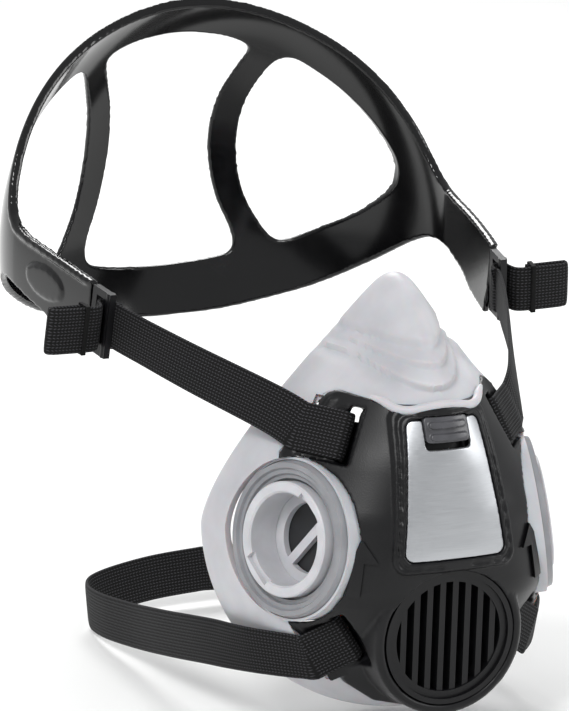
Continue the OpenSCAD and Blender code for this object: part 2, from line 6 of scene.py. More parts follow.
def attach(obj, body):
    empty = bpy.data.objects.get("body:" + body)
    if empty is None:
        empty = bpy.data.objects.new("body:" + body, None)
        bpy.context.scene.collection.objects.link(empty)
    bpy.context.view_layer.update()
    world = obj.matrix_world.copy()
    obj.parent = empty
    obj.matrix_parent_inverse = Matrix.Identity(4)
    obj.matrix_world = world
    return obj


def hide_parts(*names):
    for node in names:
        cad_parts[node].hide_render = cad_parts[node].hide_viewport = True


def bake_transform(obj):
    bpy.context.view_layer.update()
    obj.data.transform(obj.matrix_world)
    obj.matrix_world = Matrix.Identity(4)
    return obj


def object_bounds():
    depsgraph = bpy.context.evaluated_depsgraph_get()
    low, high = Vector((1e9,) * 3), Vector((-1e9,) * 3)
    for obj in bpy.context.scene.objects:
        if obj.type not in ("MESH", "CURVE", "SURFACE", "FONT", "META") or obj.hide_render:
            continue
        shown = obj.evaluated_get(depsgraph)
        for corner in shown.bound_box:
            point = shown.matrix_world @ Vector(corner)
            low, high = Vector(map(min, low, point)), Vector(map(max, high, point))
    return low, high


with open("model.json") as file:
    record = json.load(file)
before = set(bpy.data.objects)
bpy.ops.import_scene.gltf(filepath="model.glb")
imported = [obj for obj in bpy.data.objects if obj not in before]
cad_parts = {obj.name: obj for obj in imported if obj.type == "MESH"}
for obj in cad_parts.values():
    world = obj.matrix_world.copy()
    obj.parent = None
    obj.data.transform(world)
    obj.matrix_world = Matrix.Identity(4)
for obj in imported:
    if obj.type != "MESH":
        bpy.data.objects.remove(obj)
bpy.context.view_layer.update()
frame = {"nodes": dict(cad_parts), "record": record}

mm = 0.001
print("frame loaded")


# Camera first, so the framing is known
cameraSettings = {"lens": 258.2, "azimuth": 25.0, "elevation": 13.48, "distance": 1.5,
    "aim": (0.0, 0.015, 0.0),
                  "turn": (-0.00870, 0.01965)}  # small turn right and up so the object sits where it should


def makeCamera(settings):
    az, el = math.radians(settings["azimuth"]), math.radians(settings["elevation"])
    back = Vector((-math.sin(az) * math.cos(el), -math.cos(az) * math.cos(el), math.sin(el)))
    right = Vector((math.cos(az), -math.sin(az), 0.0))
    up = right.cross(-back)
    ahead = (-back + right * settings["turn"][0] + up * settings["turn"][1]).normalized()
    data = bpy.data.cameras.new("camera")
    data.lens, data.sensor_width, data.clip_start, data.clip_end = settings["lens"], 36.0, 0.05, 20.0
    camera = bpy.data.objects.new("camera", data)
    bpy.context.scene.collection.objects.link(camera)
    camera.location = Vector(settings["aim"]) + back * settings["distance"]
    camera.rotation_euler = ahead.to_track_quat("-Z", "Y").to_euler()
    bpy.context.scene.camera = camera


makeCamera(cameraSettings)
print("camera made")


# Small helpers
def srgb(code):
    parts = [int(code[i:i + 2], 16) / 255 for i in (0, 2, 4)]
    return [c / 12.92 if c <= 0.04045 else ((c + 0.055) / 1.055) ** 2.4 for c in parts] + [1.0]


def addNode(tree, kind, settings=None, **links):
    node = tree.nodes.new(kind)
    for key, value in (settings or {}).items():
        if isinstance(key, int) or key in node.inputs:
            node.inputs[key].default_value = value
        else:
            setattr(node, key, value)
    for key, source in links.items():
        spot = int(key[1:]) if key[0] == "i" and key[1:].isdigit() else key.replace("_", " ")
        tree.links.new(source, node.inputs[spot])
    return node


def newMaterial(name):
    material = bpy.data.materials.new(name)
    material.use_nodes = True
    tree = material.node_tree
    tree.nodes.clear()
    out = tree.nodes.new("ShaderNodeOutputMaterial")
    shader = tree.nodes.new("ShaderNodeBsdfPrincipled")
    tree.links.new(shader.outputs[0], out.inputs[0])
    return material, tree, shader


def ramp(tree, source, stops):
    node = addNode(tree, "ShaderNodeValToRGB", {}, Fac=source)
    bar = node.color_ramp
    for i, (place, colour) in enumerate(stops):
        stop = bar.elements[i] if i < 2 else bar.elements.new(place)
        stop.position, stop.color = place, colour
    return node


def grey(value):
    return [value, value, value, 1.0]


# moulded plastic or rubber: two close tones, roughness that wanders, fine grain
def moulded(name, settings):
    material, tree, shader = newMaterial(name)
    place = addNode(tree, "ShaderNodeTexCoord").outputs["Object"]
    cloud = addNode(tree, "ShaderNodeTexNoise", {"Scale": 1.0 / (settings["cloudMm"] * mm),
        "Detail": 4.0}, Vector=place)
    grain = addNode(tree, "ShaderNodeTexNoise", {"Scale": 1.0 / (settings["grainMm"] * mm),
        "Detail": 2.0}, Vector=place)
    tone = ramp(tree, cloud.outputs["Fac"], [(0.3, srgb(settings["dark"])), (0.7, srgb(settings["light"]))])
    wander = ramp(tree, cloud.outputs["Fac"], [(0.3, grey(settings["rough"][0])), (0.7,
        grey(settings["rough"][1]))])
    bump = addNode(tree, "ShaderNodeBump", {"Strength": settings["bump"], "Distance": 0.0001},
        Height=grain.outputs["Fac"])
    tree.links.new(tone.outputs[0], shader.inputs["Base Color"])
    tree.links.new(wander.outputs[0], shader.inputs["Roughness"])
    tree.links.new(bump.outputs[0], shader.inputs["Normal"])
    for key, value in settings.get("shader", {}).items():
        shader.inputs[key].default_value = value
    return material


siliconeRubber = moulded("silicone rubber, moulded", {  # soft, milky, satin: light goes a little way in
    "cloudMm": 18, "grainMm": 0.5, "dark": "B0B0B5", "light": "C4C4C8", "rough": (0.38, 0.5), "bump": 0.12,
    "shader": {"IOR": 1.41, "Subsurface Weight": 0.3, "Subsurface Scale": 0.004, "Sheen Weight": 0.08}})
satinNylon = moulded("glass-filled nylon, moulded satin", {  # even dark satin with soft wide highlights
    "cloudMm": 14, "grainMm": 0.35, "dark": "08080A", "light": "0F0F11", "rough": (0.32,
        0.42), "bump": 0.25,
    "shader": {"IOR": 1.53, "Specular IOR Level": 0.28}})
glossPolypropylene = moulded("polypropylene, moulded gloss",
    {  # near-mirror black with clear window reflections
    "cloudMm": 22, "grainMm": 3.0, "dark": "040405", "light": "070708", "rough": (0.1, 0.16), "bump": 0.03,
    "shader": {"IOR": 1.5, "Coat Weight": 0.1, "Coat Roughness": 0.08, "Specular IOR Level": 0.4}})
greyPolycarbonate = moulded("polycarbonate, moulded translucent grey",
    {  # smoky grey, faintly see-through at edges
    "cloudMm": 10, "grainMm": 0.3, "dark": "7B7C80", "light": "8F9094", "rough": (0.28, 0.36), "bump": 0.08,
    "shader": {"IOR": 1.585, "Subsurface Weight": 0.2, "Subsurface Scale": 0.002}})
lightAcetal = moulded("acetal, moulded light grey", {  # pale, slightly waxy
    "cloudMm": 9, "grainMm": 0.3, "dark": "B9B9BD", "light": "C9C9CD", "rough": (0.3, 0.38), "bump": 0.08,
    "shader": {"IOR": 1.48, "Subsurface Weight": 0.15, "Subsurface Scale": 0.0015}})
darkAcetal = moulded("acetal, moulded dark grey", {  # the latch: smoother and darker than the rings
    "cloudMm": 5, "grainMm": 0.3, "dark": "3E3E41", "light": "4C4C50", "rough": (0.26, 0.34), "bump": 0.06,
    "shader": {"IOR": 1.48}})
valveRubber = moulded("natural rubber, thin sheet", {  # dark and matt
    "cloudMm": 6, "grainMm": 0.25, "dark": "1B1C1E", "light": "27282A", "rough": (0.5, 0.62), "bump": 0.2,
    "shader": {"IOR": 1.52}})


# satin-brushed aluminium foil finish: fine level scratches stretch the highlight sideways
def brushedSilver():
    material, tree, shader = newMaterial("aluminium, satin brushed")
    place = addNode(tree, "ShaderNodeTexCoord").outputs["Object"]
    stretch = addNode(tree, "ShaderNodeMapping", {}, Vector=place)
    stretch.inputs["Scale"].default_value = (0.03, 0.3, 1.0)
    lines = addNode(tree, "ShaderNodeTexNoise", {"Scale": 1.0 / (0.25 * mm), "Detail": 3.0},
        Vector=stretch.outputs[0])
    tone = ramp(tree, lines.outputs["Fac"], [(0.3, srgb("B2B4B7")), (0.7, srgb("B9BBBE"))])
    wander = ramp(tree, lines.outputs["Fac"], [(0.3, grey(0.3)), (0.7, grey(0.4))])
    bump = addNode(tree, "ShaderNodeBump", {"Strength": 0.05, "Distance": 0.00005},
        Height=lines.outputs["Fac"])
    tree.links.new(tone.outputs[0], shader.inputs["Base Color"])
    tree.links.new(wander.outputs[0], shader.inputs["Roughness"])
    tree.links.new(bump.outputs[0], shader.inputs["Normal"])
    shader.inputs["Metallic"].default_value = 0.85
    return material


def springSteel():
    material, tree, shader = newMaterial("spring steel, drawn wire")
    place = addNode(tree, "ShaderNodeTexCoord").outputs["Object"]
    draw = addNode(tree, "ShaderNodeTexNoise", {"Scale": 1.0 / (0.2 * mm)}, Vector=place)
    wander = ramp(tree, draw.outputs["Fac"], [(0.3, grey(0.25)), (0.7, grey(0.35))])
    tree.links.new(wander.outputs[0], shader.inputs["Roughness"])
    shader.inputs["Base Color"].default_value = srgb("9C9EA0")
    shader.inputs["Metallic"].default_value = 1.0
    return material


webSizes = {"ribMm": 0.95, "pickMm": 1.1}  # ribs run along the strap, picks cross it in a herringbone


def elasticWebbing():  # black knitted elastic: cords along the strap, slanted stitches between, soft fuzz
    material, tree, shader = newMaterial("elastic webbing, knitted polyester")
    uv = addNode(tree, "ShaderNodeUVMap",
        {"uv_map": "weave"}).outputs[0]  # in millimetres: x across, y along
    parts = addNode(tree, "ShaderNodeSeparateXYZ", {}, Vector=uv)

    def maths(kind, a, b=None, value=None):
        node = tree.nodes.new("ShaderNodeMath")
        node.operation = kind
        tree.links.new(a, node.inputs[0])
        if b is not None:
            tree.links.new(b, node.inputs[1])
        elif value is not None:
            node.inputs[1].default_value = value
        return node.outputs[0]

    across = maths("MULTIPLY", parts.outputs["X"], value=1 / webSizes["ribMm"])
    rib = maths("ABSOLUTE", maths("SINE", maths("MULTIPLY", across, value=math.pi)))
    zig = maths("PINGPONG", across, value=1.0)
    along = maths("ADD", maths("MULTIPLY", parts.outputs["Y"], value=1 / webSizes["pickMm"]),
        maths("MULTIPLY", zig, value=0.9))
    stitch = maths("ABSOLUTE", maths("SINE", maths("MULTIPLY", along, value=math.pi)))
    height = maths("ADD", maths("MULTIPLY", rib, value=0.65), maths("MULTIPLY", stitch, value=0.35))
    # the strap's own black, with a painted highlight on the tops of the cords and stitches where the weave stands
    # highest
    tone = ramp(tree, height, [(0.25, srgb("000000")), (0.78, srgb("030303")), (0.98, srgb("3C3C3F"))])
    bump = addNode(tree, "ShaderNodeBump", {"Strength": 0.9, "Distance": 0.00018}, Height=height)
    tree.links.new(tone.outputs[0], shader.inputs["Base Color"])
    tree.links.new(bump.outputs[0], shader.inputs["Normal"])
    shader.inputs["Roughness"].default_value = 0.78
    shader.inputs["Sheen Weight"].default_value = 0.03
    shader.inputs["Sheen Roughness"].default_value = 0.4
    shader.inputs["Specular IOR Level"].default_value = 0.25
    return material


silverFinish, wireFinish, webFinish = brushedSilver(), springSteel(), elasticWebbing()
finishes = {"silicone": siliconeRubber, "black_plastic": satinNylon, "cradle_plastic": glossPolypropylene,
            "silver": silverFinish, "grey_plastic": greyPolycarbonate, "light_plastic": lightAcetal,
            "valve_rubber": valveRubber, "elastic_webbing": webFinish, "spring_steel": wireFinish}
print("materials made")


# Curves and surfaces that the pieces share
def bendThrough(a, b, c, d, t):
    a, b, c, d = (np.asarray(p, float) for p in (a, b, c, d))
    return 0.5 * (2 * b + (c - a) * t + (2 * a - 5 * b + 4 * c - d) * t * t + (3 * b - a - 3 * c + d) * t ** 3)


def smoothOpen(points, count):
    last = len(points) - 1
    found = [bendThrough(points[max(i - 1, 0)], points[i], points[i + 1], points[min(i + 2, last)],
        k / count)
             for i in range(last) for k in range(count)]
    return found + [np.asarray(points[last], float)]


def smoothRing(points, count):
    m = len(points)
    return [bendThrough(points[i - 1], points[i], points[(i + 1) % m], points[(i + 2) % m], k / count)
            for i in range(m) for k in range(count)]


def unit(v):
    v = np.asarray(v, float)
    return v / np.linalg.norm(v)


def roundedOutline(points, radius, count=8):
    points, found, m = [np.asarray(p, float) for p in points], [], len(points)
    for i in range(m):
        a, b = unit(points[i - 1] - points[i]), unit(points[(i + 1) % m] - points[i])
        half = math.acos(float(a @ b)) / 2
        centre = points[i] + unit(a + b) * radius / math.sin(half)
        start = points[i] + a * radius / math.tan(half) - centre
        end = points[i] + b * radius / math.tan(half) - centre
        found += [centre + radius * unit(start + (end - start) * k / count) for k in range(count + 1)]
    return found


def frameOf(origin, run, bar):  # columns: along the strap, outwards, along the bar, origin
    run, bar = unit(run), unit(bar)
    bar = unit(bar - run * (run @ bar))
    frameMatrix = np.eye(4)
    frameMatrix[:3, 0], frameMatrix[:3, 1], frameMatrix[:3, 2], frameMatrix[:3, 3] = run, np.cross(run,
        bar), bar, origin
    return frameMatrix


def pointIn(m, u, v, w=0.0):
    return m[:3, 3] + u * m[:3, 0] + v * m[:3, 1] + w * m[:3, 2]


def meshFrom(name, points, faces, material=None):
    mesh = bpy.data.meshes.new(name)
    mesh.from_pydata([tuple(np.asarray(p, float) * mm) for p in points], [],
        [tuple(int(i) for i in f) for f in faces])
    mesh.update()
    piece = bpy.data.objects.new(name, mesh)
    bpy.context.scene.collection.objects.link(piece)
    if material:
        mesh.materials.append(material)
    return piece


def pick(piece):
    bpy.ops.object.select_all(action="DESELECT")
    piece.select_set(True)
    bpy.context.view_layer.objects.active = piece


def giveFinish(piece, material):  # one slot only, whatever the cuts left behind
    piece.data.materials.clear()
    piece.data.materials.append(material)
    piece.data.polygons.foreach_set("material_index", np.zeros(len(piece.data.polygons), dtype=np.int32))


def applyModifier(piece, kind, **settings):
    pick(piece)
    modifier = piece.modifiers.new("step", kind)
    for key, value in settings.items():
        setattr(modifier, key, value)
    bpy.ops.object.modifier_apply(modifier=modifier.name)


def faceOut(piece):
    pick(piece)
    bpy.ops.object.mode_set(mode="EDIT")
    bpy.ops.mesh.select_all(action="SELECT")
    bpy.ops.mesh.remove_doubles(threshold=0.000002)
    bpy.ops.mesh.normals_make_consistent(inside=False)
    bpy.ops.object.mode_set(mode="OBJECT")


def gridSolid(name, outer, inner, wrap):  # closed solid between two grids of points [row, column, xyz]
    rows, cols = outer.shape[:2]
    points = np.concatenate([outer.reshape(-1, 3), inner.reshape(-1, 3)])
    n, faces, span = rows * cols, [], cols if wrap else cols - 1
    for i in range(rows - 1):
        for j in range(span):
            k = (j + 1) % cols
            a, b, c, d = i * cols + j, i * cols + k, (i + 1) * cols + k, (i + 1) * cols + j
            faces += [(a, b, c, d), (n + d, n + c, n + b, n + a)]
    for j in range(span):
        k, t = (j + 1) % cols, (rows - 1) * cols
        faces += [(k, j, n + j, n + k), (t + j, t + k, n + t + k, n + t + j)]
    if not wrap:
        for i in range(rows - 1):
            u, w, e = i * cols, (i + 1) * cols, cols - 1
            faces += [(u, w, n + w, n + u), (w + e, u + e, n + u + e, n + w + e)]
    piece = meshFrom(name, points, faces)
    faceOut(piece)
    return piece


def prismSolid(name, outline, low, high, axis="y"):
    outline = [np.asarray(p, float) for p in outline]
    m = len(outline)
    if axis == "y":
        points = [(p[0], low, p[1]) for p in outline] + [(p[0], high, p[1]) for p in outline]
    else:
        points = [(low, p[0], p[1]) for p in outline] + [(high, p[0], p[1]) for p in outline]
    faces = [tuple(range(m - 1, -1, -1)), tuple(range(m, 2 * m))] + [(i, (i + 1) % m, m + (i + 1) % m,
        m + i) for i in range(m)]
    piece = meshFrom(name, points, faces)
    faceOut(piece)
    return piece


def cylinderSolid(name, matrix, radius, low, high, sides=128, tip=None):
    turns = [2 * math.pi * i / sides for i in range(sides)]
    points = [np.array([r * math.cos(a), r * math.sin(a), z, 1.0]) for r,
        z in ((radius, low), (tip or radius, high)) for a in turns]
    points = [(matrix @ p)[:3] for p in points]
    faces = [tuple(range(sides - 1, -1, -1)), tuple(range(sides, 2 * sides))]
    faces += [(i, (i + 1) % sides, sides + (i + 1) % sides, sides + i) for i in range(sides)]
    piece = meshFrom(name, points, faces)
    faceOut(piece)
    return piece


def boxSolid(name, matrix, low, high):
    points = [(matrix @ np.array([x, y, z, 1.0]))[:3] for x in (low[0], high[0]) for y in (low[1],
        high[1]) for z in (low[2], high[2])]
    piece = meshFrom(name, points, [(0, 1, 3, 2), (4, 6, 7, 5), (0, 4, 5, 1), (2, 3, 7, 6), (0, 2, 6, 4),
        (1, 5, 7, 3)])
    faceOut(piece)
    return piece


def combine(piece, other, how):  # how is UNION, DIFFERENCE or INTERSECT
    applyModifier(piece, "BOOLEAN", operation=how, object=other, solver="MANIFOLD")
    bpy.data.objects.remove(other)
    return piece


def mirrored(piece, name):  # left to right copy with its own mesh
    copy = piece.copy()
    copy.data = piece.data.copy()
    copy.name = copy.data.name = name
    bpy.context.scene.collection.objects.link(copy)
    copy.data.transform(Matrix.Scale(-1, 4, (1, 0, 0)))
    copy.data.flip_normals()
    return copy


def smoothShade(piece, degrees=35):
    pick(piece)
    bpy.ops.object.shade_smooth_by_angle(angle=math.radians(degrees))


# one even skin: small rounds on every edge, then back on the true surfaces
def remeshSoft(piece, voxel, rounds, snap):
    applyModifier(piece, "REMESH", mode="VOXEL", voxel_size=voxel * mm, use_smooth_shade=True)
    for step in range(3):
        applyModifier(piece, "SMOOTH", factor=0.5, iterations=rounds)
        data = np.empty(len(piece.data.vertices) * 3)
        piece.data.vertices.foreach_get("co", data)
        points = snap(data.reshape(-1, 3) / mm)
        piece.data.vertices.foreach_set("co", (points * mm).reshape(-1))
        piece.data.update()
    applyModifier(piece, "SMOOTH", factor=0.5, iterations=2)
    pick(piece)
    bpy.ops.object.shade_smooth()


# Places of the parts that sit at an angle, in millimetres
def turnX(degrees):
    c, s = math.cos(math.radians(degrees)), math.sin(math.radians(degrees))
    return np.array([[1, 0, 0, 0], [0, c, -s, 0], [0, s, c, 0], [0, 0, 0, 1]], float)


def turnZ(degrees):
    c, s = math.cos(math.radians(degrees)), math.sin(math.radians(degrees))
    return np.array([[c, -s, 0, 0], [s, c, 0, 0], [0, 0, 1, 0], [0, 0, 0, 1]], float)


def moveTo(x, y, z):
    m = np.eye(4)
    m[:3, 3] = (x, y, z)
    return m


flipX = np.diag([-1.0, 1.0, 1.0, 1.0])
connector = moveTo(41.3, -43.1, -7.4) @ turnZ(70) @ turnX(82)
grille = moveTo(0, -66, -34.9) @ turnX(94)
upperLug = frameOf([24.4, -45.6, 21.3], [0.634, 0.74, 0.12], [-0.56, -0.08, 0.82])
lowerLug = frameOf([25.8, -50.6, -36], [0.7, 0.5, -0.46], [0.62, 0.22, 0.72])
buckleFrame = frameOf([64, 29.6, 42], [8, 60, 10], [-0.067, -0.196, 0.978])
strap = {"width": 14.0, "thick": 1.3, "tail": 15.0, "lugThick": 2.2, "gap": 0.3, "backBar": 2.35}


# Soft facepiece
face = {"wall": 2.2, "around": 280, "deep": 150, "foldHeight": 1.8, "foldWide": 2.3,
        "grilleHole": 25.0, "inletHole": 23.0, "sleeveIn": 22.45, "sleeveOut": 23.15,
        "folds": ((47.0, 0.011), (42.0, 0.018), (36.0,
            0.024))}  # height of each fold in the middle, and its sag
faceRings = np.array([[-17, 3, -8, 37.5, 48, 48], [-21, -1, -11, 44, 54, 55.5],
    [-25, -6, -17, 47.8, 59, 60.5],
                      [-28, -12, -24, 48.5, 61, 62], [-32, -20, -33, 47.6, 60.6, 61], [-37, -31, -42, 46,
                          58, 58],
                      [-45, -41, -49, 42.5, 51, 52], [-53, -49, -54, 37.5, 42, 44], [-57.4, -54.5, -56.5,
                          28, 31, 32],
                      [-59, -57.5, -58, 14, 16, 16], [-59, -58, -58, 1, 2, 1]], float)


def facePoint(t, a):  # t runs from the lip to the front, a goes round
    i = np.clip(np.floor(t).astype(int), 0, 10)
    r = [faceRings[np.clip(i + k, 0, 10)] for k in (-1, 0, 1, 2)]
    f = (t - i)[..., None]
    row = 0.5 * (2 * r[1] + (r[2] - r[0]) * f + (2 * r[0] - 5 * r[1] + 4 * r[2] - r[3]) * f ** 2
                 + (3 * r[1] - r[0] - 3 * r[2] + r[3]) * f ** 3)
    c, s = np.cos(a), np.sin(a)
    up, down, middle = np.maximum(s, 0), np.maximum(-s, 0), -12 * (1 - t / 16)
    narrow = 1 - 0.71 * up ** 1.4 + 0.08 * down ** 2
    y = row[..., 1] + (row[..., 0] - row[..., 1]) * up ** 1.2 + (row[..., 2] - row[..., 1]) * down ** 1.6
    z = middle + np.where(s > 0, row[..., 4] - middle, row[..., 5] + middle) * s
    return np.stack([row[..., 3] * c * narrow, y, z], -1)


def faceGrid(offset, folds=0.0):
    t, a = np.meshgrid(np.linspace(0, 9.95, face["deep"]), np.linspace(0, 2 * math.pi, face["around"],
        endpoint=False), indexing="ij")
    here = facePoint(t, a)
    deep = facePoint(np.minimum(t + 0.05, 9.99), a) - facePoint(np.maximum(t - 0.05, 0), a)
    across = facePoint(t, a + 0.017) - facePoint(t, a - 0.017)
    normal = np.cross(deep, across)
    normal /= np.linalg.norm(normal, axis=-1, keepdims=True)
    ledge = np.zeros_like(here[..., 2])
    for place, sag in face["folds"]:  # folds sag in the middle and climb to the sides
        drop = place + sag * here[..., 0] ** 2 - here[..., 2]
        below = np.clip(drop / face["foldWide"], 0, 1)
        ledge = np.maximum(ledge, (3 * below ** 2 - 2 * below ** 3) * np.clip(1 - (drop - 2) / 5.5, 0, 1))
    front = np.clip((t - 1.8) / 1.6, 0, 1) * np.clip((np.sin(a) - 0.35) / 0.2, 0, 1)
    moved = here + normal * (offset + folds * ledge * front)[..., None]
    squeeze = np.clip((here[..., 2] - 26) / 14, 0, 1) * np.clip((t - 3.0) / 2, 0, 1)
    moved[..., 0] *= 1 - 0.15 * squeeze * squeeze * (3 - 2 * squeeze)
    return moved


houseRows = np.array([[-62, -52, 20, -46, 2], [-52, -60, 25, -47, 2], [-44, -64, 28.5, -47.5, 2],
    [-37, -66, 34, -46, 2],
                      [-32, -66.8, 39, -44.5, 2.2], [-22, -68.5, 40, -47, 4], [-10, -70, 40, -50,
                          2.6], [0, -68.6, 40, -48, 2.6],
                      [16, -65.6, 37.6, -36.5, 2.2], [23, -63.8, 32, -37.5, 2], [31.6, -60.3, 25, -39,
                          2], [40, -56, 18, -41, 2]], float)


def houseY(x, z):  # front surface of the housing, rounded a little between its rows
    x, z = np.asarray(x, float), np.asarray(z, float)
    level = [sum(w * np.interp(z + d, houseRows[:, 0], houseRows[:, k]) for d,
        w in ((-2.4, .2), (-1.2, .2), (0, .2), (1.2, .2), (2.4, .2)))
             for k in (1, 2, 3, 4)]
    return level[0] + (level[2] - level[0]) * np.abs(x / level[1]) ** level[3]


def houseField(name, front, back, cell=0.9):
    x, z = np.meshgrid(np.linspace(-44.3, 44.3, int(88 / cell)), np.linspace(-60.2, 39.4, int(99 / cell)))
    y = houseY(x, z)
    grids = [np.stack([x, y + o, z], -1) for o in (front, back)]
    return gridSolid(name, grids[0], grids[1], False)


halfOutline = [(0, 31), (11, 31.2), (17, 32), (22.6, 33.4), (25.4, 31.6), (38, 15.8), (41, 8), (42, -24),
    (39.6, -32),
               (28.6, -44.4), (24, -50), (17, -55), (0, -58)]
houseOutline = halfOutline + [(-x, z) for x, z in halfOutline[-2:0:-1]]


def plateOutline(grow):
    return [(10.9 + grow, 27.3 + grow), (15.6 + grow * 1.1, -11 - grow), (-15.6 - grow * 1.1, -11 - grow),
        (-10.9 - grow, 27.3 + grow)]


def makeFacepiece():
    piece = gridSolid("facepieceSkin", faceGrid(0, face["foldHeight"]),
        faceGrid(-face["wall"], face["foldHeight"]), True)
    combine(piece, cylinderSolid("cut", grille, face["grilleHole"], -30, 20), "DIFFERENCE")
    under = combine(houseField("cut", -8, 3.3), prismSolid("cut2", houseOutline, -90, -30), "INTERSECT")
    combine(piece, under, "DIFFERENCE")
    for side in (np.eye(4), flipX):
        for lug in (upperLug, lowerLug):
            combine(piece, boxSolid("cut", side @ lug, (-8.3, -3.6, -10.3), (11.7, 16.4, 10.3)),
                "DIFFERENCE")
    for side in (np.eye(4), flipX):
        combine(piece, cylinderSolid("cut", side @ connector, face["inletHole"], -30, 30), "DIFFERENCE")
        sleeve = combine(cylinderSolid("sleeve", side @ connector, face["sleeveOut"], -16, -3.2),
            cylinderSolid("o", side @ connector, face["sleeveIn"], -18, 0), "DIFFERENCE")
        combine(piece, sleeve, "UNION")
    giveFinish(piece, siliconeRubber)
    smoothShade(piece, 40)
    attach(piece, "mask"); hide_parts("facepiece")
    print("facepiece", len(piece.data.polygons))


makeFacepiece()


def makeHoodRoll():  # rolled silicone edge where the hood laps over the top of the housing
    half = [(-17.2, 32.8), (-15, 32.0), (-12.6, 30.4), (-9.5, 30.0), (-5, 30.8), (0, 31.3)]
    line = np.array(smoothOpen(half + [(-x, z) for x, z in half[-2::-1]], 8))
    path = np.stack([line[:, 0], houseY(line[:, 0], line[:, 1]) - 0.5, line[:, 1]], 1)
    curve = bpy.data.curves.new("hoodRoll", "CURVE")
    curve.dimensions, curve.bevel_depth, curve.bevel_resolution, curve.use_fill_caps = "3D", 1.25 * mm, 6, True
    spline = curve.splines.new("POLY")
    spline.points.add(len(path) - 1)
    for i, (point, place) in enumerate(zip(spline.points, path)):
        point.co = (*(place * mm), 1)
        point.radius = 0.45 + 0.55 * min(1, i / 10, (len(path) - 1 - i) / 10)
    piece = bpy.data.objects.new("hoodRoll", curve)
    bpy.context.scene.collection.objects.link(piece)
    pick(piece)
    bpy.ops.object.convert(target="MESH")
    giveFinish(piece, siliconeRubber)
    smoothShade(piece, 60)
    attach(piece, "mask")


makeHoodRoll()


# Front housing, plate and latch
housing = {"wall": 3.0, "frameRise": 1.3, "arrowRise": 1.1, "voxelMm": 0.5,
           "bell": 24.6, "bellTip": 22.9, "grilleSeat": 20.0, "throat": 17.7, "pocket": 23.4, "pocketMouth": 22.9}


def lugPlate(side, lug, cut):
    h = strap["width"] / 2 + 3
    outline = [(-8, -h), (9.8 + cut, -h), (9.8 - cut * 1.4, h), (-8, h)]
    m = side @ lug
    points = [(m @ np.array([u, v, w, 1.0]))[:3] for v in (-1.1, 1.1) for u, w in outline]
    piece = meshFrom("lug", points, [(3, 2, 1, 0), (4, 5, 6, 7), (0, 1, 5, 4), (1, 2, 6, 5), (2, 3, 7, 6),
        (3, 0, 4, 7)])
    faceOut(piece)
    return piece


def snapTo(offsets, reach):
    def snap(points):
        y = houseY(points[:, 0], points[:, 2])
        o = points[:, 1] - y
        for target in offsets:
            near = np.abs(o - target)
            pull = np.clip((reach - near) / (reach * 0.5), 0, 1)
            points[:, 1] += (target - o) * pull
            o = points[:, 1] - y
        return points
    return snap


